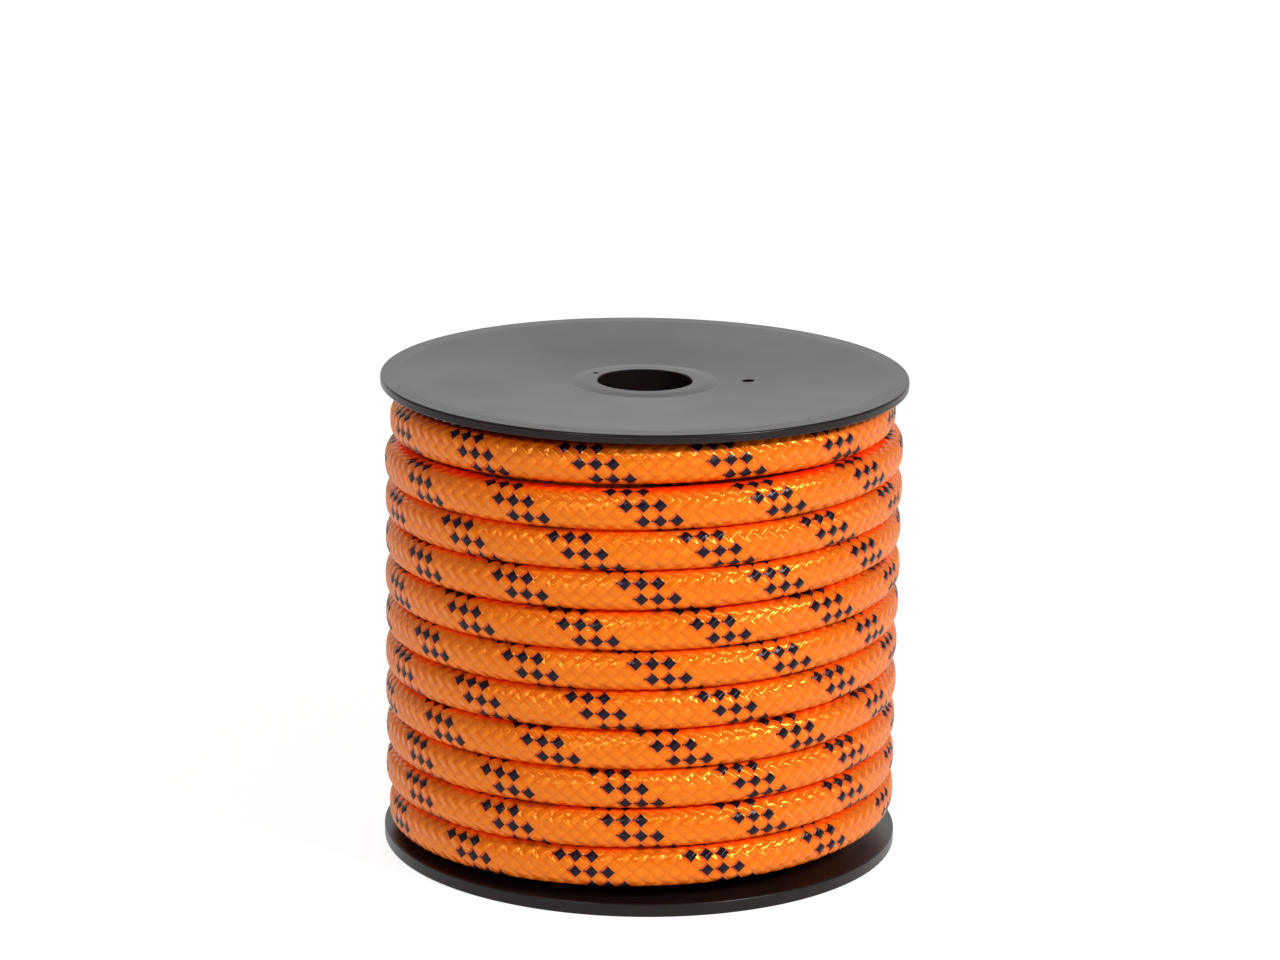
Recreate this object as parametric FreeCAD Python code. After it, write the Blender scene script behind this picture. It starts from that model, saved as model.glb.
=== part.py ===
import FreeCAD, Part
import math
import os

# A reel of braided rope that stands on its lower flange.
# Units are millimetres, +Z is up, and the origin is the middle of the lower rim's resting face.

# Rope
ROPE_DIAMETER = 10.0
TURNS_PER_LAYER = 11
LAYER_STEP = 9.0            # radial distance from one layer's turns to the next layer's
COIL_RADIUS = 65.4          # to the outside of the outer turns
CORE_STRAND_RADIUS = 1.18   # the core is one strand with six round it
CORE_STRAND_STEP = 2.38     # from the middle strand to each of the six
SHEATH_BORE = 7.2           # inside diameter of the braided sheath
SLEEVE_WALL = 0.35
SLEEVE_SPAN = 8.0           # degrees of the outer turn that its end sleeve covers
INNER_SLEEVE_SPAN = 12.0

# Reel
REEL_HEIGHT = 121.2
UPPER_FLANGE_RADIUS = 66.5
LOWER_FLANGE_RADIUS = 65.5
RIM_THICKNESS = 2.2
FOOT_DEPTH = 1.2            # the lower rim is this much deeper, as a foot
RIM_FLAT_START = 61.5       # the flat resting ring runs from here to the edge
DISH_DEPTH = 2.0            # how far the hub lies inside the rim's plane
OUTER_EDGE_ROUND = 0.5
INNER_EDGE_ROUND = 0.4
BORE_RADIUS = 12.0
SPINDLE_TUBE_WALL = 2.0
BARREL_WALL = 2.0
HUB_THICKNESS = 2.2
BOSS_RADIUS = 18.6
BOSS_TOP_RADIUS = 15.4
BOSS_HEIGHT = 0.2
BORE_CHAMFER = 0.25

# Features moulded on each flange
SPIGOT_WALL = 1.7
SPIGOT_HEIGHT = 8.0
FIT_GAP = 0.1
COLLAR_WALL = 1.8
RIB_THICKNESS = 1.6
RIB_HEIGHT = 6.0
RIB_COUNT = 6
DRIVER_HOLE_RADIUS = 1.6
DRIVER_HOLE_PLACE = 26.0
GATE_PIT_RADIUS = 0.75
GATE_PIT_DEPTH = 0.9
GATE_PIT_PLACE = 14.4
GATE_PIT_AZIMUTH = 150.0

# Where the rope's two ends and the tape lie, as azimuths in degrees
OUTER_END_START = 30.0
OUTER_END_STOP = 52.0
OUTER_GAP_STOP = 150.0      # past its end the top turn is missing as far as here
INNER_END_START = 7.0
INNER_END_STOP = 29.0
TAPE_START = 33.0
TAPE_STOP = 47.0
TAPE_THICKNESS = 0.3
TAPE_CLEARANCE = 0.1
TAPE_HEIGHT = 31.0

# Sizes that follow from those above
ROPE_RADIUS = ROPE_DIAMETER / 2
SLEEVE_RADIUS = ROPE_RADIUS + SLEEVE_WALL
OUTER_TURN_RADIUS = COIL_RADIUS - ROPE_RADIUS
INNER_TURN_RADIUS = OUTER_TURN_RADIUS - 2 * LAYER_STEP
BARREL_RADIUS = INNER_TURN_RADIUS - ROPE_RADIUS
INNER_SEAM = INNER_TURN_RADIUS + LAYER_STEP / 2
OUTER_SEAM = OUTER_TURN_RADIUS - LAYER_STEP / 2
DISH_SLOPE = DISH_DEPTH / (RIM_FLAT_START - BOSS_RADIUS)
HUB_FACE = DISH_DEPTH + HUB_THICKNESS       # of a flange, above its rim's plane
LOWER_HUB = FOOT_DEPTH + HUB_FACE
UPPER_HUB = REEL_HEIGHT - HUB_FACE
TUBE_RADIUS = BORE_RADIUS + SPINDLE_TUBE_WALL


def inner_face(radius):
    """Height of a flange's inner face above its rim's plane, where the winding meets it."""
    return RIM_THICKNESS + DISH_SLOPE * max(RIM_FLAT_START - radius, 0.0)


def winding_floor(radius):
    return FOOT_DEPTH + inner_face(radius)


def winding_roof(radius):
    return REEL_HEIGHT - inner_face(radius)


def point(radius, height):
    return FreeCAD.Vector(radius, 0, height)


def on_circle(centre, radius, degrees):
    angle = math.radians(degrees)
    return centre + FreeCAD.Vector(radius * math.cos(angle), 0, radius * math.sin(angle))


def arc(centre, radius, start, stop):
    """An arc in the XZ plane, from start to stop degrees."""
    ends = [on_circle(centre, radius, a) for a in (start, (start + stop) / 2, stop)]
    return Part.Arc(*ends).toShape()


def turned(edges, start=0.0, span=360.0):
    """The solid that a closed profile in the XZ plane sweeps about the reel's axis."""
    face = Part.Face(Part.Wire(Part.__sortEdges__(edges)))
    axis = FreeCAD.Vector(0, 0, 1)
    origin = FreeCAD.Vector(0, 0, 0)
    face.rotate(origin, axis, start)
    return face.revolve(origin, axis, span)


def lines(points):
    return [Part.LineSegment(a, b).toShape() for a, b in zip(points, points[1:])]


def closed(points):
    return lines(points + points[:1])


def ring(inner, outer, low, high, start=0.0, span=360.0):
    """A plain tube about the reel's axis, or a stretch of one."""
    corners = [point(inner, low), point(outer, low), point(outer, high), point(inner, high)]
    return turned(closed(corners), start, span)


def flange_plate(radius, foot):
    """The dished disc with its rounded rim and the raised boss round the bore."""
    outer_round = point(radius - OUTER_EDGE_ROUND, OUTER_EDGE_ROUND - foot)
    inner_round = point(radius - INNER_EDGE_ROUND, RIM_THICKNESS - INNER_EDGE_ROUND)
    boss_face = DISH_DEPTH - BOSS_HEIGHT
    under = [
        point(BORE_RADIUS, HUB_FACE),
        point(BORE_RADIUS, boss_face + BORE_CHAMFER),
        point(BORE_RADIUS + BORE_CHAMFER, boss_face),
        point(BOSS_TOP_RADIUS, boss_face),
        point(BOSS_RADIUS, DISH_DEPTH),
        point(RIM_FLAT_START, 0),
    ]
    if foot:
        under.append(point(RIM_FLAT_START, -foot))
    under.append(point(radius - OUTER_EDGE_ROUND, -foot))
    over = [
        point(radius - INNER_EDGE_ROUND, RIM_THICKNESS),
        point(RIM_FLAT_START, RIM_THICKNESS),
        point(BARREL_RADIUS, inner_face(BARREL_RADIUS)),
        point(BARREL_RADIUS, HUB_FACE),
        point(BORE_RADIUS, HUB_FACE),
    ]
    side = [
        point(radius, OUTER_EDGE_ROUND - foot),
        point(radius, RIM_THICKNESS - INNER_EDGE_ROUND),
    ]
    rounds = [
        arc(outer_round, OUTER_EDGE_ROUND, -90, 0),
        arc(inner_round, INNER_EDGE_ROUND, 0, 90),
    ]
    return turned(lines(under) + lines(side) + lines(over) + rounds)


def rib(azimuth):
    """One upright web between the collar and the spigot."""
    start = TUBE_RADIUS + FIT_GAP + COLLAR_WALL / 2
    stop = BARREL_RADIUS - BARREL_WALL - FIT_GAP - SPIGOT_WALL / 2
    corner = FreeCAD.Vector(start, -RIB_THICKNESS / 2, HUB_FACE)
    web = Part.makeBox(stop - start, RIB_THICKNESS, RIB_HEIGHT, corner)
    web.rotate(FreeCAD.Vector(0, 0, 0), FreeCAD.Vector(0, 0, 1), azimuth)
    return web


def flange(radius, foot):
    """One flange moulding with its outside down and its rim's plane at height 0.

    A spigot fits inside the barrel tube, a collar fits round the spindle tube, and ribs
    join the two. A drive hole goes through, and a moulding pit marks the boss.
    """
    spigot_outside = BARREL_RADIUS - BARREL_WALL - FIT_GAP
    collar_inside = TUBE_RADIUS + FIT_GAP
    top = HUB_FACE + SPIGOT_HEIGHT
    body = flange_plate(radius, foot)
    body = body.fuse(ring(spigot_outside - SPIGOT_WALL, spigot_outside, HUB_FACE, top))
    body = body.fuse(ring(collar_inside, collar_inside + COLLAR_WALL, HUB_FACE, top))
    for index in range(RIB_COUNT):
        body = body.fuse(rib((index + 0.5) * 360 / RIB_COUNT))
    driver_place = FreeCAD.Vector(DRIVER_HOLE_PLACE, 0, 0)
    body = body.cut(Part.makeCylinder(DRIVER_HOLE_RADIUS, HUB_FACE, driver_place))
    angle = math.radians(GATE_PIT_AZIMUTH)
    pit_place = FreeCAD.Vector(
        GATE_PIT_PLACE * math.cos(angle), GATE_PIT_PLACE * math.sin(angle), 0
    )
    pit_top = DISH_DEPTH - BOSS_HEIGHT + GATE_PIT_DEPTH
    body = body.cut(Part.makeCylinder(GATE_PIT_RADIUS, pit_top, pit_place))
    return body.removeSplitter()


def lower_flange():
    return flange(LOWER_FLANGE_RADIUS, FOOT_DEPTH).translated(FreeCAD.Vector(0, 0, FOOT_DEPTH))


def upper_flange():
    middle = FreeCAD.Vector(0, 0, REEL_HEIGHT / 2)
    return flange(UPPER_FLANGE_RADIUS, 0).mirror(middle, FreeCAD.Vector(0, 0, 1))


def plain_layer(inner, outer):
    """A layer of turns that another layer covers, as its outer shape between the flanges."""
    corners = [
        point(inner, winding_floor(inner)),
        point(outer, winding_floor(outer)),
        point(outer, winding_roof(outer)),
        point(inner, winding_roof(inner)),
    ]
    return turned(closed(corners))


def outer_layer():
    """The outer turns: one round lobe for each turn, and no top turn past the rope's end."""
    low = winding_floor(OUTER_SEAM)
    high = winding_roof(OUTER_SEAM)
    pitch = (high - low) / TURNS_PER_LAYER
    lobe = pitch / 2
    lobe_centre = COIL_RADIUS - lobe
    edges = lines([
        point(lobe_centre, high),
        point(OUTER_SEAM, high),
        point(OUTER_SEAM, low),
        point(lobe_centre, low),
    ])
    for index in range(TURNS_PER_LAYER):
        centre = point(lobe_centre, low + (index + 0.5) * pitch)
        edges.append(arc(centre, lobe, -90, 90))
    gap = ring(
        OUTER_SEAM, UPPER_FLANGE_RADIUS, high - pitch, REEL_HEIGHT,
        OUTER_END_START, OUTER_GAP_STOP - OUTER_END_START,
    )
    return turned(edges).cut(gap)


def bent_rod(rod_radius, turn_radius, height, start, stop):
    """A round rod that follows a level turn about the reel's axis."""
    section = Part.Circle(point(turn_radius, height), FreeCAD.Vector(0, 1, 0), rod_radius)
    return turned([section.toShape()], start, stop - start)


def end_sheath(turn_radius, height, start, stop):
    """The braided sheath of a cut end, as a plain tube."""
    outside = bent_rod(ROPE_RADIUS, turn_radius, height, start, stop)
    return outside.cut(bent_rod(SHEATH_BORE / 2, turn_radius, height, start, stop))


def end_core(turn_radius, height, start, stop):
    """Seven core strands, side by side inside the sheath."""
    strands = [bent_rod(CORE_STRAND_RADIUS, turn_radius, height, start, stop)]
    for index in range(6):
        angle = math.radians(60 * index)
        across = turn_radius + CORE_STRAND_STEP * math.cos(angle)
        up = height + CORE_STRAND_STEP * math.sin(angle)
        strands.append(bent_rod(CORE_STRAND_RADIUS, across, up, start, stop))
    return Part.makeCompound(strands)


def end_sleeve(turn_radius, height, start, stop):
    """The shrunk sleeve that keeps the cut end of the sheath closed."""
    outside = bent_rod(SLEEVE_RADIUS, turn_radius, height, start, stop)
    return outside.cut(bent_rod(ROPE_RADIUS, turn_radius, height, start, stop))


def retaining_tape():
    """The strip of tape that holds the outer end down on the turns below it."""
    inside = COIL_RADIUS + TAPE_CLEARANCE
    high = REEL_HEIGHT - RIM_THICKNESS - TAPE_THICKNESS
    return ring(
        inside, inside + TAPE_THICKNESS, high - TAPE_HEIGHT, high,
        TAPE_START, TAPE_STOP - TAPE_START,
    )


def build():
    """Every piece of the reel by name."""
    inner_end = (INNER_TURN_RADIUS + SLEEVE_WALL, winding_floor(BARREL_RADIUS) + SLEEVE_RADIUS)
    outer_end = (OUTER_TURN_RADIUS - SLEEVE_WALL, winding_roof(OUTER_SEAM) - SLEEVE_RADIUS)
    inner_room = bent_rod(SLEEVE_RADIUS, *inner_end, INNER_END_START, INNER_END_STOP)
    outer_room = bent_rod(SLEEVE_RADIUS, *outer_end, OUTER_END_START, OUTER_END_STOP)
    inner_layer = plain_layer(BARREL_RADIUS, INNER_SEAM)
    middle_layer = plain_layer(INNER_SEAM, OUTER_SEAM)
    barrel_inside = BARREL_RADIUS - BARREL_WALL
    inner_sleeve_stop = INNER_END_START + INNER_SLEEVE_SPAN
    return {
        "lower_flange": lower_flange(),
        "upper_flange": upper_flange(),
        "barrel_tube": ring(barrel_inside, BARREL_RADIUS, LOWER_HUB, UPPER_HUB),
        "spindle_tube": ring(BORE_RADIUS, TUBE_RADIUS, LOWER_HUB, UPPER_HUB),
        "rope_inner_layer": inner_layer.cut(inner_room),
        "rope_middle_layer": middle_layer.cut(inner_room).cut(outer_room),
        "rope_outer_layer": outer_layer().cut(outer_room),
        "outer_end_sheath": end_sheath(*outer_end, OUTER_END_START, OUTER_END_STOP),
        "outer_end_core": end_core(*outer_end, OUTER_END_START, OUTER_END_STOP),
        "outer_end_sleeve": end_sleeve(
            *outer_end, OUTER_END_STOP - SLEEVE_SPAN, OUTER_END_STOP
        ),
        "inner_end_sheath": end_sheath(*inner_end, INNER_END_START, INNER_END_STOP),
        "inner_end_core": end_core(*inner_end, INNER_END_START, INNER_END_STOP),
        "inner_end_sleeve": end_sleeve(*inner_end, INNER_END_START, inner_sleeve_stop),
        "retaining_tape": retaining_tape(),
    }


os.makedirs("parts", exist_ok=True)
for name, shape in build().items():
    shape.exportStep("parts/" + name + ".step")
    print(name, "solids", len(shape.Solids), "valid", shape.isValid(), "volume", round(shape.Volume))
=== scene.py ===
import math

import bmesh
import bpy
import numpy as np
from mathutils import Matrix, Vector


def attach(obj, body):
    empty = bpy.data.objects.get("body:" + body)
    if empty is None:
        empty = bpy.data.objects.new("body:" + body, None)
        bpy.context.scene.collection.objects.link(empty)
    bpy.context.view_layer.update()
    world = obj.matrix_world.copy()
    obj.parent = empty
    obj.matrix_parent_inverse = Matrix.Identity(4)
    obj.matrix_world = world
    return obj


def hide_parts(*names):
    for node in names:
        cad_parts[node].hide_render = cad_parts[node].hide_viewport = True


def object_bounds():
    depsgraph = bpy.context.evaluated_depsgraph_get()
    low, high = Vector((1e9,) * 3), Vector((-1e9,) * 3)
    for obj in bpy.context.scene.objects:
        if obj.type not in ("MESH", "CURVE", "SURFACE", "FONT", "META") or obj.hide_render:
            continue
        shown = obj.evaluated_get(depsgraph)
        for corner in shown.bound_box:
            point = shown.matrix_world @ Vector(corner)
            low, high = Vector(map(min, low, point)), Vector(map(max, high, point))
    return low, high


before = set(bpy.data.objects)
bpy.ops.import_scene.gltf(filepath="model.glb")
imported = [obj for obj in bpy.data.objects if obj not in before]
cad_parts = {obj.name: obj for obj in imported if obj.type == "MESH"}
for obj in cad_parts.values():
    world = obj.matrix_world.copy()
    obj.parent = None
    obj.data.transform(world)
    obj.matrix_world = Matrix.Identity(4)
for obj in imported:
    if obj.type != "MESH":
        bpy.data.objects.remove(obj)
cad_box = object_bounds()

# A reel of braided climbing rope. Lengths are in metres. Azimuths are in degrees: 0 is +X, and
# -90 is the side that faces the camera. Other angles are in radians.
MM = 0.001

# The rope and its sheath
CARRIERS_EACH_WAY = 8       # strands of the braid that run each way round the rope
LAY_LENGTH = 30.2 * MM      # along the rope, one turn of a strand
TRACER_STRANDS = 3          # neighbouring black strands, all running the same way
PILLOW_HEIGHT = 0.22 * MM   # from a strand's crown to where it dives under
CORNER_DEPTH = 0.10 * MM    # further down where four strands' edges meet
RELIEF_PRESSED_AWAY = 0.7   # the share of that which is lost where two turns touch
PRESSED_FLAT = 5.03 * MM    # half the rope's height between its neighbours
SECTION_OUTWARD = 4.95 * MM     # half its depth, away from the reel's axis
SECTION_INWARD = 4.6 * MM       # and towards it
SQUARENESS = 2.7            # of its outline, where 2 is an ellipse
SHEATH_BORE_RADIUS = 3.6 * MM
LINING_DEPTH = 0.5 * MM     # from the sheath's outline to its underside
LINING_STEP = 2.5 * MM
LINING_SIDES = 20
COVERED_FINENESS = 1        # small faces along each side of a strand's patch, where turns hide it,
GAP_FINENESS = 3            # where a gap between turns shows it,
OUTER_FINENESS = 5          # and on the outer turns

# The sleeves on the rope's ends
SLEEVE_RADIUS = 5.35 * MM
HELD_RADIUS = 4.88 * MM     # of the sheath inside a sleeve
HELD_LENGTH = 9.2 * MM
LETTING_GO = 10 * MM        # beyond that, where the sheath comes back to its own outline
SEAL_SIDES = 48
SEAL_UNEVENNESS = 0.06 * MM

# The tape over the rope's outer end
TAPE_SPAN = (33, 47)        # azimuths
TAPE_HEIGHTS = (87.7 * MM, 118.1 * MM)
TAPE_THICKNESS = 0.25 * MM
TAPE_CORNER = 2.5 * MM
TAPE_DIP = 0.6 * MM         # below the crowns of the turns
TAPE_STANDS_CLEAR = 0.1 * MM
SLEEVE_START = 44           # azimuth of the sleeve's edge, under the tape

# The winding, from the cut end on the barrel to the cut end outside
TURN_PITCH = 10 * MM
INNER_RADIUS = 42.4 * MM
MIDDLE_RADIUS = 51.4 * MM
OUTER_RADIUS = 60.4 * MM
TAPER = 0.4 * MM            # how much closer in the lowest outer turn lies than the top one
INNER_END = (42.75 * MM, 9.87 * MM)     # radius and height of each cut end's middle
OUTER_END = (60.05 * MM, 113.39 * MM)
LOWEST_TURN = 8.9 * MM                  # heights at which the covered layers turn back
HIGHEST_TURN = 113 * MM
FIRST_FRONT_HEIGHT = 11.8 * MM          # of the lowest outer turn, at the front
OUTER_TURNS = 11
TOP_TURN_LIFT = 0.9 * MM                # extra height of the top turn over the gap under it
TOP_TURN_SUNK = (1.3 * MM, 0.7 * MM)    # how far in it lies, and how much more past the front
PRESSED_STRETCH = 83                    # how far back from its end it presses on the turn below
UNEVEN_RADIUS = 0.12 * MM               # of a rope wound by hand
UNEVEN_HEIGHT = 0.1 * MM
STEP = 10                               # between the control points of the rope's line

# The braid turns a little as the rope is wound, least at the steadiest turn and more towards
# both ends of the outer layer. Turns count from the front of its lowest one
STEADIEST_TURN = 6
LEAST_SLIP = -0.06           # there, in lays
SLIP_GROWTH = 0.013          # in lays, times the square of the turns from there
START_SLIP = 0.45            # more, in lays, up to turn 1, and gone by turn 2


def smooth(value, start, stop):
    """Rises from 0 at start to 1 at stop, level at both."""
    t = np.clip((value - start) / (stop - start), 0, 1)
    return t * t * (3 - 2 * t)


# ---------------------------------------------------------------- camera

def add_camera():
    """The camera stands in front, a little above the upper flange, and looks slightly down."""
    distance = 1.1
    elevation = math.radians(12.89)
    aim_down = math.radians(1.403)
    aim_left = math.radians(0.046)
    roll = math.radians(0.75)
    upper_rim = Vector((0, 0, cad_box[1][2]))
    away = Vector((0, -math.cos(elevation), math.sin(elevation)))
    right = Vector((1, 0, 0))
    forward = Matrix.Rotation(-aim_down, 3, right) @ -away
    up = right.cross(forward)
    turn = Matrix.Rotation(aim_left, 3, up)
    forward = turn @ forward
    right = turn @ right
    rolled_right = right * math.cos(roll) + up * math.sin(roll)
    rolled_up = up * math.cos(roll) - right * math.sin(roll)
    data = bpy.data.cameras.new("camera")
    data.sensor_width = 36
    data.lens = 123
    data.clip_start = 0.01
    camera = bpy.data.objects.new("camera", data)
    bpy.context.scene.collection.objects.link(camera)
    axes = Matrix((rolled_right, rolled_up, -forward)).transposed()
    camera.matrix_world = Matrix.Translation(upper_rim + away * distance) @ axes.to_4x4()
    bpy.context.scene.camera = camera


add_camera()


# ---------------------------------------------------------------- the rope's line

# Azimuths along the winding, counted on from the lowest outer turn's front at -90
LEVEL_START = 22            # the inner end lies level over this much
LAYER_SPAN = 3744           # a covered layer runs from one flange to the other in this
CROSSINGS = (100, 101)      # the rope climbs on to the middle and the outer layer in these
INNER_START = 7 - 22 * 360
INNER_RISE = (INNER_START + LEVEL_START, INNER_START + LEVEL_START + LAYER_SPAN)
MIDDLE_FALL = (INNER_RISE[1] + CROSSINGS[0], INNER_RISE[1] + CROSSINGS[0] + LAYER_SPAN)
OUTER_START = MIDDLE_FALL[1] + CROSSINGS[1]
OUTER_STOP = 52 + (OUTER_TURNS - 1) * 360
TOP_TURN = 180 + (OUTER_TURNS - 2) * 360    # where the top turn comes round to the front


def share_of(azimuth, span):
    """How much of a span of azimuths lies behind, from 0 to 1."""
    return min(max((azimuth - span[0]) / (span[1] - span[0]), 0), 1)


def winding_height(azimuth):
    """Height of the rope's middle along the winding."""
    if azimuth < MIDDLE_FALL[0]:
        return INNER_END[1] + share_of(azimuth, INNER_RISE) * (HIGHEST_TURN - INNER_END[1])
    if azimuth < OUTER_START:
        return HIGHEST_TURN - share_of(azimuth, MIDDLE_FALL) * (HIGHEST_TURN - LOWEST_TURN)
    height = FIRST_FRONT_HEIGHT + TURN_PITCH * (azimuth + 90) / 360
    height += TOP_TURN_LIFT * smooth(azimuth, TOP_TURN - 40, TOP_TURN + 60)
    if azimuth > OUTER_STOP - 200:
        return min(height, OUTER_END[1])
    return max(height - room_for_end(azimuth), LOWEST_TURN)


def room_for_end(azimuth):
    """How far a turn is pressed down where the rope's level outer end lies above it."""
    place = (azimuth - OUTER_STOP + 180) % 360 - 180
    rise_spared = TURN_PITCH / 360 * min(max(place + PRESSED_STRETCH, 0), PRESSED_STRETCH)
    return rise_spared * (1 - smooth(place, 8, 85)) * smooth(azimuth, 0, 360)


def winding_radius(azimuth):
    """Distance of the rope's middle from the reel's axis along the winding."""
    if azimuth < MIDDLE_FALL[0]:
        lift = smooth(azimuth, INNER_RISE[1], MIDDLE_FALL[0])
        return INNER_RADIUS + lift * (MIDDLE_RADIUS - INNER_RADIUS)
    radius = OUTER_RADIUS - TAPER * (1 - share_of(azimuth, (OUTER_START, TOP_TURN)))
    if azimuth < OUTER_START + 52:
        lift = smooth(azimuth, MIDDLE_FALL[1], OUTER_START + 52)
        return MIDDLE_RADIUS + lift * (radius - MIDDLE_RADIUS)
    sunk = TOP_TURN_SUNK[0] * smooth(azimuth, TOP_TURN - 60, TOP_TURN)
    sunk += TOP_TURN_SUNK[1] * smooth(azimuth, TOP_TURN + 60, TOP_TURN + 180)
    risen = smooth(azimuth, TOP_TURN + 175, OUTER_STOP - 20)
    return radius - sunk * (1 - risen) - (OUTER_RADIUS - OUTER_END[0]) * risen


def wander(azimuth, seed):
    """A slow unevenness between -1 and 1, as of a rope wound by hand."""
    slow = math.sin(math.radians(azimuth) * 0.37 + seed)
    quick = math.sin(math.radians(azimuth) * 1.13 + 2.1 * seed)
    return 0.6 * slow + 0.4 * quick


def winding_point(azimuth):
    """A control point of the rope's line."""
    loose = smooth(azimuth, INNER_START, INNER_START + 60)
    loose *= 1 - smooth(azimuth, OUTER_STOP - 60, OUTER_STOP - 25)
    radius = winding_radius(azimuth) + UNEVEN_RADIUS * loose * wander(azimuth, 1.0)
    height = winding_height(azimuth) + UNEVEN_HEIGHT * loose * wander(azimuth, 4.0)
    radius /= (3 + math.cos(math.radians(STEP))) / 4     # the line runs inside its points
    angle = math.radians(azimuth)
    return radius * math.cos(angle), radius * math.sin(angle), height


def rope_line():
    """The rope's middle line as a NURBS curve object."""
    count = (OUTER_STOP - INNER_START) // STEP + 1
    azimuths = np.linspace(INNER_START, OUTER_STOP, count)
    data = bpy.data.curves.new("rope_line", "CURVE")
    data.dimensions = "3D"
    spline = data.splines.new("NURBS")
    spline.points.add(count - 1)
    for point, azimuth in zip(spline.points, azimuths):
        point.co = (*winding_point(azimuth), 1)
    spline.order_u = 3
    spline.use_endpoint_u = True
    spline.resolution_u = 6
    line = bpy.data.objects.new("rope_line", data)
    bpy.context.scene.collection.objects.link(line)
    return line


def line_points(line):
    """Points along a curve object, in order."""
    mesh = bpy.data.meshes.new_from_object(line)
    points = np.empty(len(mesh.vertices) * 3)
    mesh.vertices.foreach_get("co", points)
    bpy.data.meshes.remove(mesh)
    return points.reshape(-1, 3)


def lengths_along(points):
    """How far along the line each of its points is."""
    steps = np.linalg.norm(np.diff(points, axis=0), axis=1)
    return np.concatenate([[0], np.cumsum(steps)])


# ---------------------------------------------------------------- the braided sheath

ROWS_ROUND = 2 * CARRIERS_EACH_WAY      # half-steps of the braid round the rope
HALF_STEP = LAY_LENGTH / ROWS_ROUND     # the same along it


def section_radius(angle):
    """The rope's own outline: round, but squared by the turns above and below."""
    across = np.where(np.cos(angle) > 0, SECTION_OUTWARD, SECTION_INWARD)
    sideways = np.abs(np.cos(angle)) / across
    upright = np.abs(np.sin(angle)) / PRESSED_FLAT
    return (sideways ** SQUARENESS + upright ** SQUARENESS) ** (-1 / SQUARENESS)


def held_share(places, whole):
    """1 where a sleeve near either end of the rope holds the sheath round, 0 further on."""
    from_end = np.minimum(places, whole - places)
    return 1 - smooth(from_end, HELD_LENGTH, HELD_LENGTH + LETTING_GO)


def pillow(along, across):
    """Height of a strand over its own patch, 0 at the crown. Both run from -1 to 1."""
    rise = (1 - along ** 2) * (1 - np.abs(across) ** 10)
    return -PILLOW_HEIGHT * (1 - rise) - CORNER_DEPTH * (along * across) ** 2


def strands_at(first, second):
    """For points in the braid's own two directions, which run down and up the visible side:
    the patch that each is in, whether a falling strand is on top there, and the place in it."""
    cell_first = np.floor(first + 0.5)
    cell_second = np.floor(second + 0.5)
    falling = (cell_first + cell_second) % 2 == 0
    place_first = 2 * (first - cell_first)
    place_second = 2 * (second - cell_second)
    along = np.where(falling, place_second, place_first)
    across = np.where(falling, place_first, place_second)
    return cell_first, cell_second, falling, along, across


def frames_at(points, along_line, places):
    """The rope's middle at some places, and there the directions outward and up."""
    centre = np.stack([np.interp(places, along_line, points[:, k]) for k in range(3)], 1)
    ahead = np.gradient(centre, axis=0)
    ahead /= np.linalg.norm(ahead, axis=1)[:, None]
    outward = centre * (1, 1, 0)
    outward -= ahead * (outward * ahead).sum(1)[:, None]
    outward /= np.linalg.norm(outward, axis=1)[:, None]
    return centre, outward, np.cross(outward, ahead)


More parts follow.
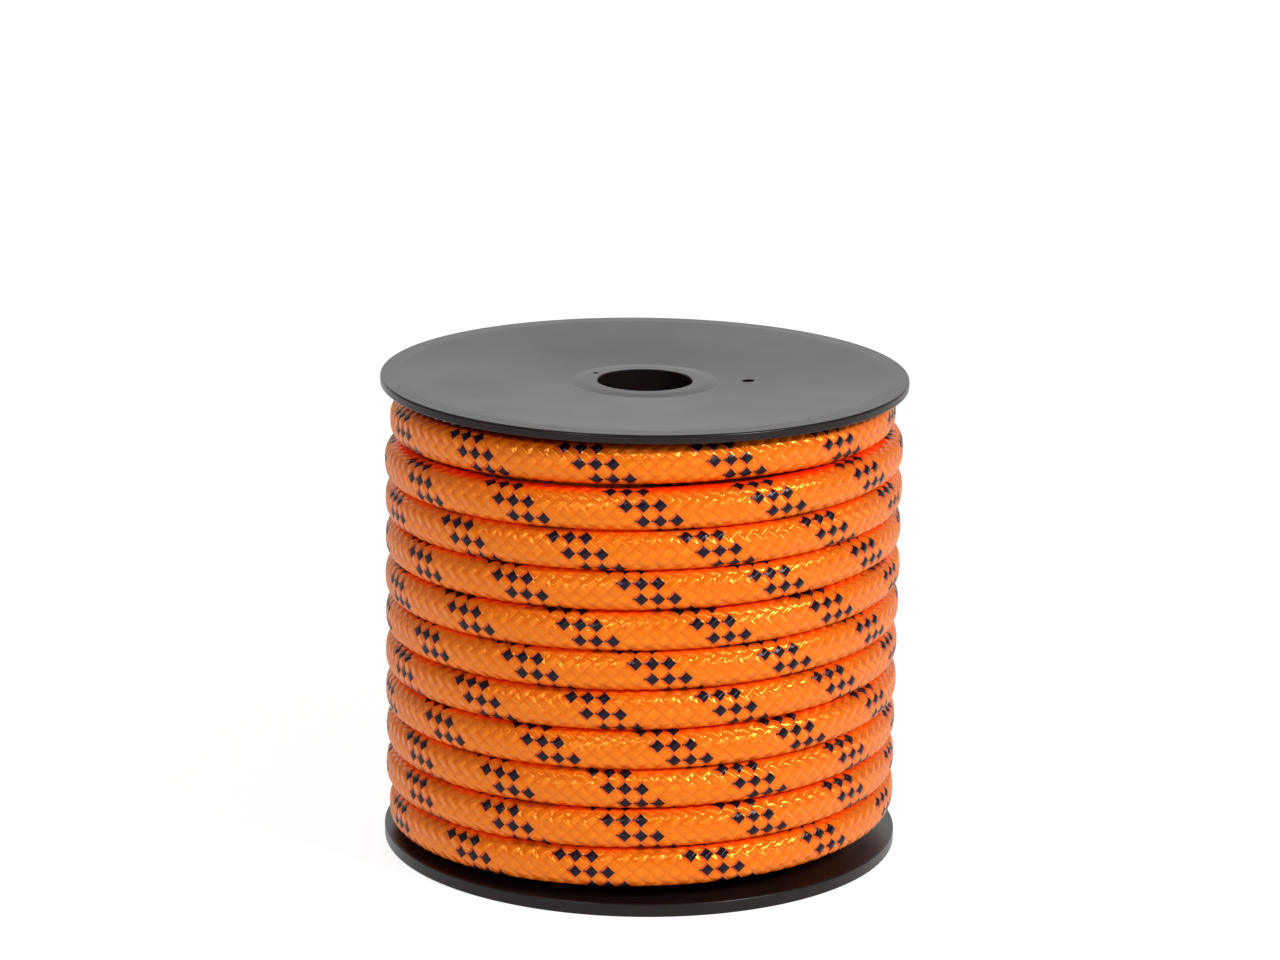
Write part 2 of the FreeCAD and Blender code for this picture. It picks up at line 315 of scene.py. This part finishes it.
def sheath_part(points, along_line, start, stop, fine, phase):
    """The sheath between two places on the line, as corners, faces, uvs, and for each face
    whether it is a tracer's, its strand's shade, and how far it is turned to the next turn.
    fine is the number of small faces along each side of a strand's patch."""
    first_ring = max(int(start / HALF_STEP) * fine - 1, 0)
    last_ring = int(stop / HALF_STEP) * fine
    rings = np.arange(first_ring, last_ring + 1)
    places = rings * HALF_STEP / fine
    centre, outward, upward = frames_at(points, along_line, places)

    per_ring = CARRIERS_EACH_WAY * fine
    row = 2 * np.arange(per_ring)[None, :] + (rings % 2)[:, None]
    step = np.broadcast_to(rings[:, None], row.shape)
    first = (step + row) / (2 * fine)
    second = (step - row) / (2 * fine)
    _, _, _, along, across = strands_at(first, second)
    angle = 2 * np.pi * row / (ROWS_ROUND * fine) + phase(places)[:, None]
    relief = pillow(along, across) * (1 - RELIEF_PRESSED_AWAY * np.sin(angle) ** 8)
    held = held_share(places, along_line[-1])[:, None]
    radius = section_radius(angle) * (1 - held) + HELD_RADIUS * held + relief * (1 - 0.5 * held)
    corners = (
        centre[:, None]
        + (radius * np.cos(angle))[..., None] * outward[:, None]
        + (radius * np.sin(angle))[..., None] * upward[:, None]
    ).reshape(-1, 3)

    # Each small face is a diamond: the corners before, below, after and above its middle
    ring = np.arange(1, len(rings) - 1)[:, None]
    slot = np.arange(per_ring)[None, :]
    odd = rings[ring] % 2
    middle_row = 2 * slot + 1 - odd
    same_before = ((middle_row - 1 - odd) // 2) % per_ring
    same_after = ((middle_row + 1 - odd) // 2) % per_ring
    other = ((middle_row - (1 - odd)) // 2) % per_ring
    faces = np.stack(
        [
            (ring - 1) * per_ring + other,
            ring * per_ring + same_before,
            (ring + 1) * per_ring + other,
            ring * per_ring + same_after,
        ],
        -1,
    ).reshape(-1, 4)

    middle_step = np.broadcast_to(rings[ring], middle_row.shape)
    face_first = (middle_step + middle_row) / (2 * fine)
    face_second = (middle_step - middle_row) / (2 * fine)
    cell_first, cell_second, falling, _, _ = strands_at(face_first, face_second)
    tracer = falling & (cell_first % CARRIERS_EACH_WAY < TRACER_STRANDS)
    strand = np.where(falling, cell_first, cell_second) % CARRIERS_EACH_WAY
    shade = strand / ROWS_ROUND + np.where(falling, 0, 0.5)
    face_angle = 2 * np.pi * middle_row / (ROWS_ROUND * fine) + phase(places)[1:-1, None]
    # How far each face is turned to the next turn; the orange yarn paints shade with it
    pressed = np.sin(face_angle) ** 2
    uvs = []
    for ring_step, row_step in ((-1, 0), (0, -1), (1, 0), (0, 1)):
        corner_first = face_first + (ring_step + row_step) / (2 * fine) - cell_first
        corner_second = face_second + (ring_step - row_step) / (2 * fine) - cell_second
        corner_along = np.where(falling, corner_second, corner_first) + 0.5
        corner_across = np.where(falling, corner_first, corner_second) + 0.5
        number = np.where(falling, cell_second, cell_first)
        uvs.append(np.stack([corner_across, corner_along + number % 64], -1))
    uvs = np.stack(uvs, 2).reshape(-1, 2)
    return corners, faces, uvs, tracer.ravel(), shade.ravel(), pressed.ravel()


def lining_part(points, along_line, start, stop):
    """The underside of the sheath, a plain tube just below the braided turns."""
    places = np.linspace(start, stop, int((stop - start) / LINING_STEP))
    centre, outward, upward = frames_at(points, along_line, places)
    angle = 2 * np.pi * np.arange(LINING_SIDES) / LINING_SIDES
    radius = section_radius(angle) - LINING_DEPTH
    corners = (
        centre[:, None]
        + (radius * np.cos(angle))[None, :, None] * outward[:, None]
        + (radius * np.sin(angle))[None, :, None] * upward[:, None]
    ).reshape(-1, 3)
    ring = np.arange(len(places) - 1)[:, None] * LINING_SIDES
    next_ring = ring + LINING_SIDES
    slot = np.arange(LINING_SIDES)[None, :]
    after = (slot + 1) % LINING_SIDES
    faces = np.stack([ring + slot, ring + after, next_ring + after, next_ring + slot], -1)
    faces = faces.reshape(-1, 4)
    blank = np.zeros(len(faces))
    return corners, faces, np.zeros((faces.size, 2)), blank > 0, blank, blank


def braid_object(name, parts):
    """A mesh object made of parts of the sheath."""
    shift = np.cumsum([0] + [len(part[0]) for part in parts])
    faces = np.concatenate([part[1] + start for part, start in zip(parts, shift)])
    corners, _, uvs, tracer, shade, pressed = (np.concatenate(rows) for rows in zip(*parts))
    mesh = bpy.data.meshes.new(name)
    mesh.vertices.add(len(corners))
    mesh.vertices.foreach_set("co", corners.ravel())
    mesh.loops.add(faces.size)
    mesh.loops.foreach_set("vertex_index", faces.ravel().astype(np.int32))
    mesh.polygons.add(len(faces))
    mesh.polygons.foreach_set("loop_start", np.arange(0, faces.size, 4, dtype=np.int32))
    mesh.polygons.foreach_set("use_smooth", np.ones(len(faces), dtype=bool))
    layer = mesh.uv_layers.new(name="weave")
    layer.uv.foreach_set("vector", uvs.ravel())
    for attribute_name, values in (("shade", shade), ("pressed", pressed)):
        attribute = mesh.attributes.new(attribute_name, "FLOAT", "FACE")
        attribute.data.foreach_set("value", values.astype(np.float32))
    mesh.materials.append(orange_yarn)
    mesh.materials.append(black_yarn)
    mesh.polygons.foreach_set("material_index", tracer.astype(np.int32))
    mesh.update(calc_edges=True)
    mesh.validate()
    made = bpy.data.objects.new(name, mesh)
    bpy.context.scene.collection.objects.link(made)
    return made


def build_rope():
    """The rope and, apart from it, the braid over each of its outer turns."""
    line = rope_line()
    points = line_points(line)
    along_line = lengths_along(points)
    azimuths = np.unwrap(np.arctan2(points[:, 1], points[:, 0]))
    azimuths = np.degrees(azimuths - azimuths[0]) + INNER_START
    whole = along_line[-1]

    def place_of(azimuth):
        return float(np.interp(azimuth, azimuths, along_line))

    def phase(places):
        azimuth = np.interp(places, along_line, azimuths)
        turn = np.clip((azimuth + 90) / 360, 0, OUTER_TURNS - 1)
        slip = LEAST_SLIP + SLIP_GROWTH * (turn - STEADIEST_TURN) ** 2
        return 2 * math.pi * (slip + START_SLIP * np.clip(2 - turn, 0, 1))

    def braid(start, stop, fine):
        return sheath_part(points, along_line, start, stop, fine, phase)

    # The covered turns, finer where a gap shows them, and under the outer turns a lining
    barrel_top = place_of(INNER_RISE[1] - 360)
    seen_top = place_of(MIDDLE_FALL[0] + 540)
    seen_bottom = place_of(MIDDLE_FALL[1] - 400)
    outer = place_of(OUTER_START)
    inside = [
        braid(0, barrel_top, COVERED_FINENESS),
        braid(barrel_top, seen_top, GAP_FINENESS),
        braid(seen_top, seen_bottom, COVERED_FINENESS),
        braid(seen_bottom, outer + HALF_STEP, GAP_FINENESS),
        lining_part(points, along_line, outer, whole - 2 * LINING_STEP),
    ]
    rope = braid_object("rope", inside)
    # The outer turns are parted at the back
    backs = [place_of(90 + 360 * turn) for turn in range(OUTER_TURNS - 1)]
    borders = [outer] + backs + [whole]
    turns = []
    for index, (start, stop) in enumerate(zip(borders, borders[1:]), 1):
        part = braid(start, stop, OUTER_FINENESS)
        turns.append(braid_object(f"rope_outer_turn_{index:02d}", [part]))
    bpy.data.objects.remove(line)
    return rope, turns, points, whole


# ---------------------------------------------------------------- tape and sealed ends

def outer_turns_at(azimuth):
    """Heights of the outer turns' middles at an azimuth, from the lowest, and their radii."""
    passes = [azimuth + 360 * turn for turn in range(OUTER_TURNS)]
    return [winding_height(a) for a in passes], [winding_radius(a) for a in passes]


def drape_radius(azimuth, height):
    """How far out a tape lies over the turns. It dips a little between them."""
    heights, radii = outer_turns_at(azimuth)
    reach = np.interp(height, heights, radii) + SECTION_OUTWARD - TAPE_DIP
    for middle, radius in zip(heights, radii):
        off = abs(height - middle) / PRESSED_FLAT
        if off < 1:
            outline = SECTION_OUTWARD * (1 - off ** SQUARENESS) ** (1 / SQUARENESS)
            reach = max(reach, radius + outline)
    off = min(abs(height - heights[-1]) / SLEEVE_RADIUS, 1)
    over_sleeve = radii[-1] + SLEEVE_RADIUS * math.sqrt(1 - off ** 2)
    share = smooth(azimuth, SLEEVE_START - 1.5, SLEEVE_START - 0.2)
    return reach + max(over_sleeve - reach, 0) * share + TAPE_STANDS_CLEAR


def build_end_seal(name, points, at_start):
    """The melted ring that closes the sheath round the core at a cut end of the rope."""
    if at_start:
        end, inward = points[0], points[1] - points[0]
    else:
        end, inward = points[-1], points[-2] - points[-1]
    inward = Vector(inward).normalized()
    side = Vector((end[0], end[1], 0)).normalized()
    side = (side - inward * side.dot(inward)).normalized()
    up = inward.cross(side)
    # Radius and depth below the cut, from the sheath's outside over its end and into its bore
    profile = (
        (HELD_RADIUS - 0.25 * MM, 1.2 * MM),
        (HELD_RADIUS - 0.15 * MM, 0.25 * MM),
        (HELD_RADIUS - 0.35 * MM, 0.02 * MM),
        (SHEATH_BORE_RADIUS + 0.45 * MM, 0.05 * MM),
        (SHEATH_BORE_RADIUS + 0.12 * MM, 0.35 * MM),
        (SHEATH_BORE_RADIUS + 0.05 * MM, 4 * MM),
    )
    mesh = bmesh.new()
    rings = []
    for radius, depth in profile:
        ring = []
        for step in range(SEAL_SIDES):
            angle = 2 * math.pi * step / SEAL_SIDES
            uneven = SEAL_UNEVENNESS * math.sin(5 * angle + 1) * math.sin(8 * angle)
            place = Vector(end) + inward * (depth + abs(uneven))
            place += (side * math.cos(angle) + up * math.sin(angle)) * (radius + uneven)
            ring.append(mesh.verts.new(place))
        rings.append(ring)
    for before, after in zip(rings, rings[1:]):
        for step in range(SEAL_SIDES):
            following = (step + 1) % SEAL_SIDES
            face = mesh.faces.new((before[step], before[following], after[following], after[step]))
            face.smooth = True
    bmesh.ops.recalc_face_normals(mesh, faces=mesh.faces)
    data = bpy.data.meshes.new(name)
    mesh.to_mesh(data)
    mesh.free()
    seal = bpy.data.objects.new(name, data)
    bpy.context.scene.collection.objects.link(seal)
    data.materials.append(melted_yarn)
    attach(seal, "root")


def build_tape():
    """A short strip with round corners that holds the rope's outer end down."""
    rows = np.linspace(*TAPE_HEIGHTS, 94)
    turned = np.linspace(-1, 1, 25)
    middle = math.radians(sum(TAPE_SPAN) / 2)
    half_turn = math.radians(TAPE_SPAN[1] - TAPE_SPAN[0]) / 2
    corner = TAPE_CORNER / (OUTER_RADIUS + SECTION_OUTWARD)
    mesh = bmesh.new()
    grid = []
    for height in rows:
        from_end = min(height - TAPE_HEIGHTS[0], TAPE_HEIGHTS[1] - height)
        short = max(1 - from_end / TAPE_CORNER, 0)
        width = half_turn - corner * (1 - math.sqrt(1 - short ** 2))
        row = []
        for share in turned:
            angle = middle + width * share
            radius = drape_radius(math.degrees(angle), height)
            place = (radius * math.cos(angle), radius * math.sin(angle), height)
            row.append(mesh.verts.new(place))
        grid.append(row)
    for lower, upper in zip(grid, grid[1:]):
        for column in range(len(turned) - 1):
            face = mesh.faces.new(
                (lower[column], lower[column + 1], upper[column + 1], upper[column])
            )
            face.smooth = True
    data = bpy.data.meshes.new("retaining_tape_draped")
    mesh.to_mesh(data)
    mesh.free()
    tape = bpy.data.objects.new("retaining_tape_draped", data)
    bpy.context.scene.collection.objects.link(tape)
    thick = tape.modifiers.new("thickness", "SOLIDIFY")
    thick.thickness = TAPE_THICKNESS
    thick.offset = 1
    data.materials.append(tape_film)
    return tape


# ---------------------------------------------------------------- materials

PLIES = 2                   # ridges on each visible patch of a strand
FILAMENTS = 14.0            # roughly, fine threads side by side across it
PLY_HEIGHT = 0.035 * MM
FILAMENT_HEIGHT = 0.006 * MM
BOW_HEIGHT = 0.15 * MM      # of a strand over its crossing, on top of what the mesh has
ORANGE = (0.74, 0.146, 0.002, 1)
ORANGE_DEEP = (0.69, 0.117, 0.002, 1)
ORANGE_EDGE_SHADE = (0.6, 0.06, 0.002, 1)         # painted shade where a strand dives under the next
ORANGE_GAP_SHADE = (1.0, 0.03, 0.0005, 1)     # painted shade and painted red inter-reflection between two turns
ORANGE_OVER_BLACK_SHADED = (0.6, 0.07, 0.003, 1)   # strands that bulge over a black patch, darkened as painted shade
ORANGE_GLINT = (1.0, 0.56, 0.09, 1)
BLACK = (0.006, 0.003, 0.008, 1)
BLACK_DEEP = (0.004, 0.002, 0.005, 1)
BLACK_GLINT = (1, 0.82, 0.9, 1)


def new_material(name):
    """A material, its node tree and its shader."""
    material = bpy.data.materials.new(name)
    material.use_nodes = True
    tree = material.node_tree
    shader = next(node for node in tree.nodes if node.type == "BSDF_PRINCIPLED")
    return material, tree, shader


def feed(tree, socket, value):
    """Sets a socket to a value, or links it to the socket that feeds it."""
    if isinstance(value, bpy.types.NodeSocket):
        tree.links.new(value, socket)
    else:
        socket.default_value = value


def node(tree, kind, settings=(), **inputs):
    """A new shader node. An input is named as in Blender, From_Min for From Min, or i0 by place."""
    made = tree.nodes.new(kind)
    for name, value in dict(settings).items():
        setattr(made, name, value)
    for name, value in inputs.items():
        place = int(name[1:]) if name[1:].isdigit() else name.replace("_", " ")
        feed(tree, made.inputs[place], value)
    return made


def math_node(tree, operation, *values):
    inputs = {f"i{index}": value for index, value in enumerate(values)}
    return node(tree, "ShaderNodeMath", {"operation": operation}, **inputs).outputs[0]


def mix_colour(tree, factor, first, second):
    made = node(tree, "ShaderNodeMix", {"data_type": "RGBA"})
    for place, value in ((0, factor), (6, first), (7, second)):
        feed(tree, made.inputs[place], value)
    return made.outputs[2]


def object_coordinates(tree):
    return node(tree, "ShaderNodeTexCoord").outputs["Object"]


def noise(tree, vector, scale, detail):
    made = node(tree, "ShaderNodeTexNoise", Vector=vector, Scale=scale, Detail=detail)
    return made.outputs["Fac"]


def add_bump(tree, shader, height, strength, distance):
    bump = node(tree, "ShaderNodeBump", Height=height, Strength=strength, Distance=distance)
    tree.links.new(bump.outputs[0], shader.inputs["Normal"])


def yarn_material(name, light, dark, glint, tracer):
    """One colour of yarn. In the weave map U runs from 0 to 1 across a strand, and V along it,
    from one whole number to the next over each patch that shows."""
    material, tree, shader = new_material(name)
    uv = node(tree, "ShaderNodeUVMap", {"uv_map": "weave"}).outputs[0]
    parts = node(tree, "ShaderNodeSeparateXYZ", Vector=uv)
    across, along = parts.outputs[0], parts.outputs[1]
    shade = node(tree, "ShaderNodeAttribute", {"attribute_name": "shade"}).outputs["Fac"]
    pressed = node(tree, "ShaderNodeAttribute", {"attribute_name": "pressed"}).outputs["Fac"]

    # Place in the patch, each way from 0 in its middle to 1 at its edge
    from_middle = math_node(tree, "ABSOLUTE", math_node(tree, "SUBTRACT", across, 0.5))
    from_middle = math_node(tree, "MULTIPLY", from_middle, 2.0)
    from_crown = math_node(tree, "FRACT", along)
    from_crown = math_node(tree, "ABSOLUTE", math_node(tree, "SUBTRACT", from_crown, 0.5))
    from_crown = math_node(tree, "MULTIPLY", from_crown, 2.0)
    rim = math_node(tree, "MAXIMUM", from_middle, from_crown)

    # Plies: two soft ridges that cross the strand, and fine filaments that run along it
    fuzz = noise(tree, object_coordinates(tree), 300.0, 2.0)
    run = math_node(tree, "ADD", along, math_node(tree, "MULTIPLY", fuzz, 0.12))
    ridge = math_node(tree, "SINE", math_node(tree, "MULTIPLY", run, PLIES * 2 * math.pi))
    ridge = math_node(tree, "MULTIPLY_ADD", ridge, 0.5, 0.5)
    spread = math_node(tree, "MULTIPLY", across, FILAMENTS)
    threads = node(tree, "ShaderNodeCombineXYZ", i0=spread, i1=along).outputs[0]
    thread = noise(tree, threads, 1.0, 2.0)

    colour = mix_colour(tree, shade, light, dark)
    uneven = math_node(tree, "MULTIPLY", thread, 0.25)
    colour = mix_colour(tree, uneven, colour, dark)
    if not tracer:
        # Painted shade at the edges of a patch, where a strand dives under the next and less light
        # reaches
        edge = node(tree, "ShaderNodeMapRange", Value=rim, From_Min=0.5, To_Max=0.55)
        colour = mix_colour(tree, edge.outputs[0], colour, ORANGE_EDGE_SHADE)
        # Painted shade and painted red inter-reflection, where two turns press together and light
        # goes from one to the other
        depth = node(tree, "ShaderNodeMapRange", Value=pressed, From_Min=0.6)
        colour = mix_colour(tree, depth.outputs[0], colour, ORANGE_GAP_SHADE)
    else:
        # Orange strands beside it bulge over a black patch, leaving a pinched diamond, and are
        # painted in shade
        corner = math_node(tree, "MULTIPLY", from_middle, from_crown)
        corner = math_node(tree, "MULTIPLY", corner, corner)
        corner = math_node(tree, "MULTIPLY", corner, from_crown)
        reach = math_node(tree, "MULTIPLY_ADD", corner, 0.25, 0.8)
        past = math_node(tree, "SUBTRACT", rim, reach)
        covered = node(tree, "ShaderNodeMapRange", Value=past, From_Min=-0.02, From_Max=0.05)
        colour = mix_colour(tree, covered.outputs[0], colour, ORANGE_OVER_BLACK_SHADED)
    tree.links.new(colour, shader.inputs["Base Color"])

    # Heights in metres: the filaments, the plies, and each strand's bow over its crossing
    bow = math_node(tree, "MULTIPLY", from_crown, from_crown)
    bow = math_node(tree, "MULTIPLY", bow, -BOW_HEIGHT)
    height = math_node(tree, "MULTIPLY_ADD", thread, FILAMENT_HEIGHT, bow)
    height = math_node(tree, "MULTIPLY_ADD", ridge, PLY_HEIGHT, height)
    add_bump(tree, shader, height, 1.0, 1.0)
    shader.inputs["Roughness"].default_value = 0.28
    shader.inputs["IOR"].default_value = 1.7
    shader.inputs["Anisotropic"].default_value = 1.0
    shader.inputs["Specular IOR Level"].default_value = 0.13 if tracer else 1.0
    shader.inputs["Specular Tint"].default_value = glint
    tangent = node(tree, "ShaderNodeTangent", {"direction_type": "UV_MAP", "uv_map": "weave"})
    tree.links.new(tangent.outputs[0], shader.inputs["Tangent"])
    return material


def plastic_material(name, colour, roughness):
    """Dark plastic, cloudy in colour and gloss and finely grained."""
    material, tree, shader = new_material(name)
    coordinates = object_coordinates(tree)
    cloud = noise(tree, coordinates, 45.0, 4.0)
    light = tuple(1.25 * c for c in colour[:3]) + (1,)
    tree.links.new(mix_colour(tree, cloud, colour, light), shader.inputs["Base Color"])
    spread = node(
        tree, "ShaderNodeMapRange", Value=cloud, To_Min=roughness * 0.85, To_Max=roughness * 1.2
    )
    tree.links.new(spread.outputs[0], shader.inputs["Roughness"])
    add_bump(tree, shader, noise(tree, coordinates, 1800.0, 2.0), 0.15, 0.04 * MM)
    shader.inputs["Specular IOR Level"].default_value = 0.22
    return material


def core_material():
    """Ivory twisted yarn, for the rope's core where it shows at a cut end."""
    material, tree, shader = new_material("core_yarn")
    coordinates = object_coordinates(tree)
    fibres = noise(tree, coordinates, 2600.0, 3.0)
    twist = node(
        tree, "ShaderNodeTexWave", {"bands_direction": "DIAGONAL"},
        Vector=coordinates, Scale=520.0, Distortion=1.5, Detail=2.0,
    ).outputs["Fac"]
    colour = mix_colour(tree, twist, (0.62, 0.55, 0.43, 1), (0.80, 0.76, 0.66, 1))
    shadow = math_node(tree, "MULTIPLY", fibres, 0.4)
    colour = mix_colour(tree, shadow, colour, (0.45, 0.38, 0.28, 1))
    tree.links.new(colour, shader.inputs["Base Color"])
    height = math_node(tree, "MULTIPLY_ADD", fibres, 0.5, twist)
    add_bump(tree, shader, height, 0.6, 0.1 * MM)
    shader.inputs["Roughness"].default_value = 0.75
    return material


def melted_material():
    """Orange yarn melted to a crust where the rope was cut."""
    material, tree, shader = new_material("melted_yarn")
    blotch = noise(tree, object_coordinates(tree), 900.0, 3.0)
    colour = mix_colour(tree, blotch, (0.75, 0.16, 0.01, 1), (0.2, 0.03, 0.005, 1))
    tree.links.new(colour, shader.inputs["Base Color"])
    add_bump(tree, shader, blotch, 0.6, 0.1 * MM)
    shader.inputs["Roughness"].default_value = 0.4
    return material


reel_plastic = plastic_material("reel_plastic_mottled", (0.008, 0.0045, 0.0038, 1), 0.3)
sleeve_plastic = plastic_material("sleeve_plastic", (0.02, 0.02, 0.021, 1), 0.5)
tape_film = plastic_material("tape_film", (0.035, 0.034, 0.033, 1), 0.42)
core_yarn = core_material()
melted_yarn = melted_material()
orange_yarn = yarn_material("orange_yarn", ORANGE, ORANGE_DEEP, ORANGE_GLINT, False)
black_yarn = yarn_material("black_yarn", BLACK, BLACK_DEEP, BLACK_GLINT, True)


# ---------------------------------------------------------------- the pieces

def paint(names, material):
    """Gives CAD nodes a better material."""
    for name in names:
        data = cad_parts[name].data
        data.materials.clear()
        data.materials.append(material)


rope, outer_turns, rope_points, rope_length = build_rope()
paint(("lower_flange", "upper_flange", "barrel_tube", "spindle_tube"), reel_plastic)
paint(("outer_end_sleeve", "inner_end_sleeve"), sleeve_plastic)
paint(("outer_end_core", "inner_end_core"), core_yarn)

tape = build_tape()
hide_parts("retaining_tape")
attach(tape, "root")

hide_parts("rope_inner_layer", "rope_middle_layer", "inner_end_sheath")
for turn in outer_turns:
    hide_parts("rope_outer_layer")
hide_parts("outer_end_sheath")
for piece in [rope] + outer_turns:
    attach(piece, "root")
build_end_seal("outer_end_seal", rope_points, False)
build_end_seal("inner_end_seal", rope_points, True)


# ---------------------------------------------------------------- floor and light

def add_floor():
    """Paper that glows, so that it stays white under the object."""
    bpy.ops.mesh.primitive_plane_add(size=12, location=(0, 0, cad_box[0][2]))
    floor = bpy.context.object
    floor.name = "floor"
    material, _, shader = new_material("floor_paper")
    shader.inputs["Base Color"].default_value = (0.35, 0.35, 0.35, 1)
    shader.inputs["Roughness"].default_value = 0.9
    shader.inputs["Emission Color"].default_value = (1, 1, 1, 1)
    shader.inputs["Emission Strength"].default_value = 0.82
    floor.data.materials.append(material)


def add_softbox(name, place, size, power, aim=(0, 0, 0.06)):
    """A rectangular light that points at a place on the object."""
    data = bpy.data.lights.new(name, "AREA")
    data.shape = "RECTANGLE"
    data.size, data.size_y = size
    data.energy = power
    light = bpy.data.objects.new(name, data)
    light.location = place
    light.rotation_euler = (Vector(aim) - Vector(place)).to_track_quat("-Z", "Y").to_euler()
    bpy.context.scene.collection.objects.link(light)


def add_light():
    """Two small lamps in front, a wide panel behind for the upper flange, and a dim room."""
    world = bpy.data.worlds.new("studio")
    world.use_nodes = True
    background = world.node_tree.nodes["Background"]
    background.inputs[0].default_value = (1, 1, 1, 1)
    background.inputs[1].default_value = 0.3
    bpy.context.scene.world = world
    add_softbox("key", (0.82, -0.7, 0.78), (0.13, 0.13), 13.0)
    add_softbox("fill", (-0.6, -1.05, 0.75), (0.14, 0.14), 5.0)
    add_softbox("back", (0, 2.2, 0.75), (3.0, 1.3), 10.8, aim=(0, 0, 0.1))


add_floor()
add_light()
bpy.context.scene.view_settings.view_transform = "Standard"
